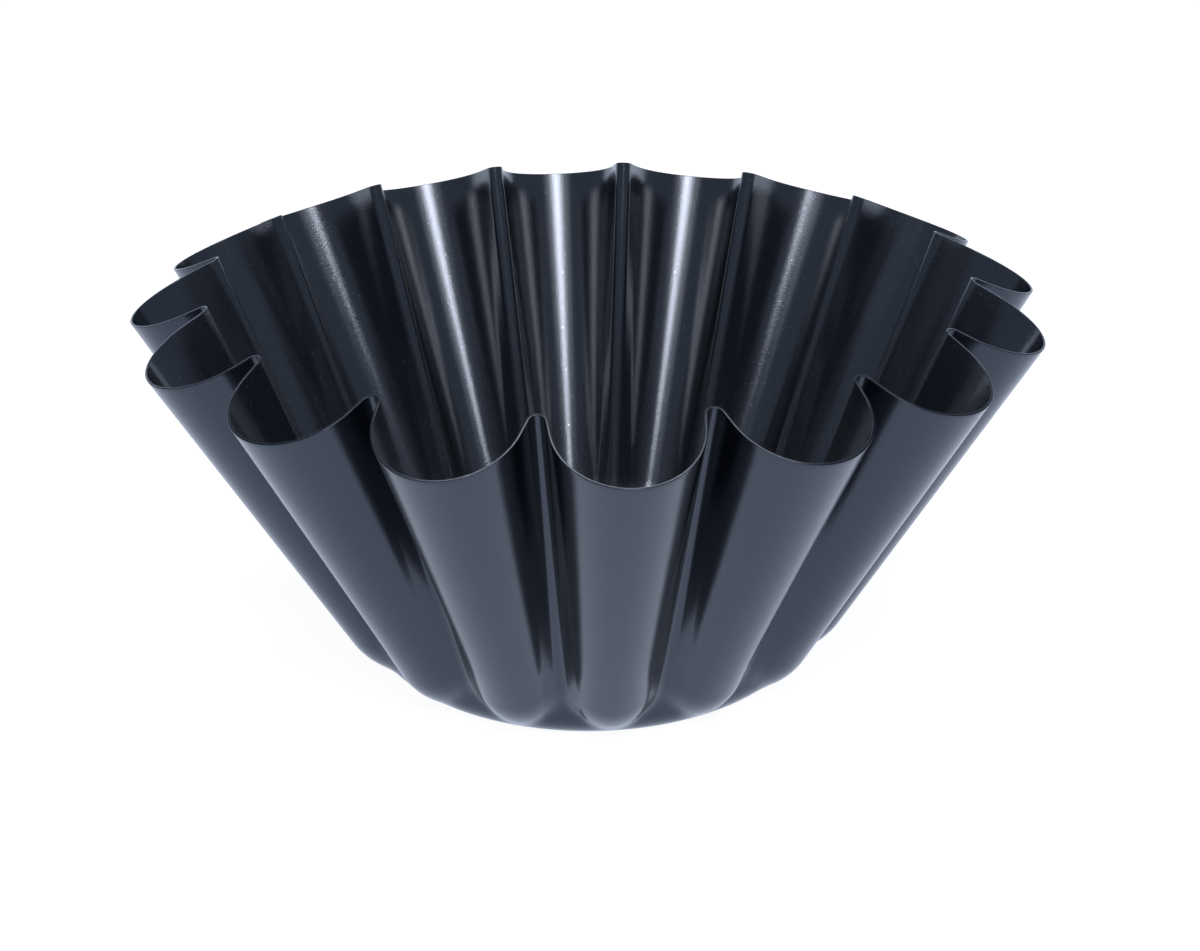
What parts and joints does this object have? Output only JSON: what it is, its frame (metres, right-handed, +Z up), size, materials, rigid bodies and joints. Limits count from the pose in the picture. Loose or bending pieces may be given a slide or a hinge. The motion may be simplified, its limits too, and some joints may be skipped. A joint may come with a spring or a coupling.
{
  "type": "fluted cake pan",
  "caption": "Deep flared round baking pan pressed from coated sheet steel, with tall rounded flutes, tight inward folds, a wavy rim and a flat base; used as a brioche or cake mould.",
  "frame": {"origin": "middle of the base's underside, on the table that the pan stands on", "axes": "+Z up along the pan's axis of symmetry, +X and +Y through the fronts of lobes"},
  "size_m": [0.22, 0.22, 0.0984],
  "materials": {
    "outer_coat": "satin slate heat-resisting coat",
    "steel": "cold-rolled sheet, hidden under the coats",
    "lining": "glossy near-black release lining with fine bright flakes"
  },
  "bodies": {
    "root": {"outer_coat": "outer_coat", "steel_pressing": "steel", "release_lining": "lining"}
  },
  "joints": []
}
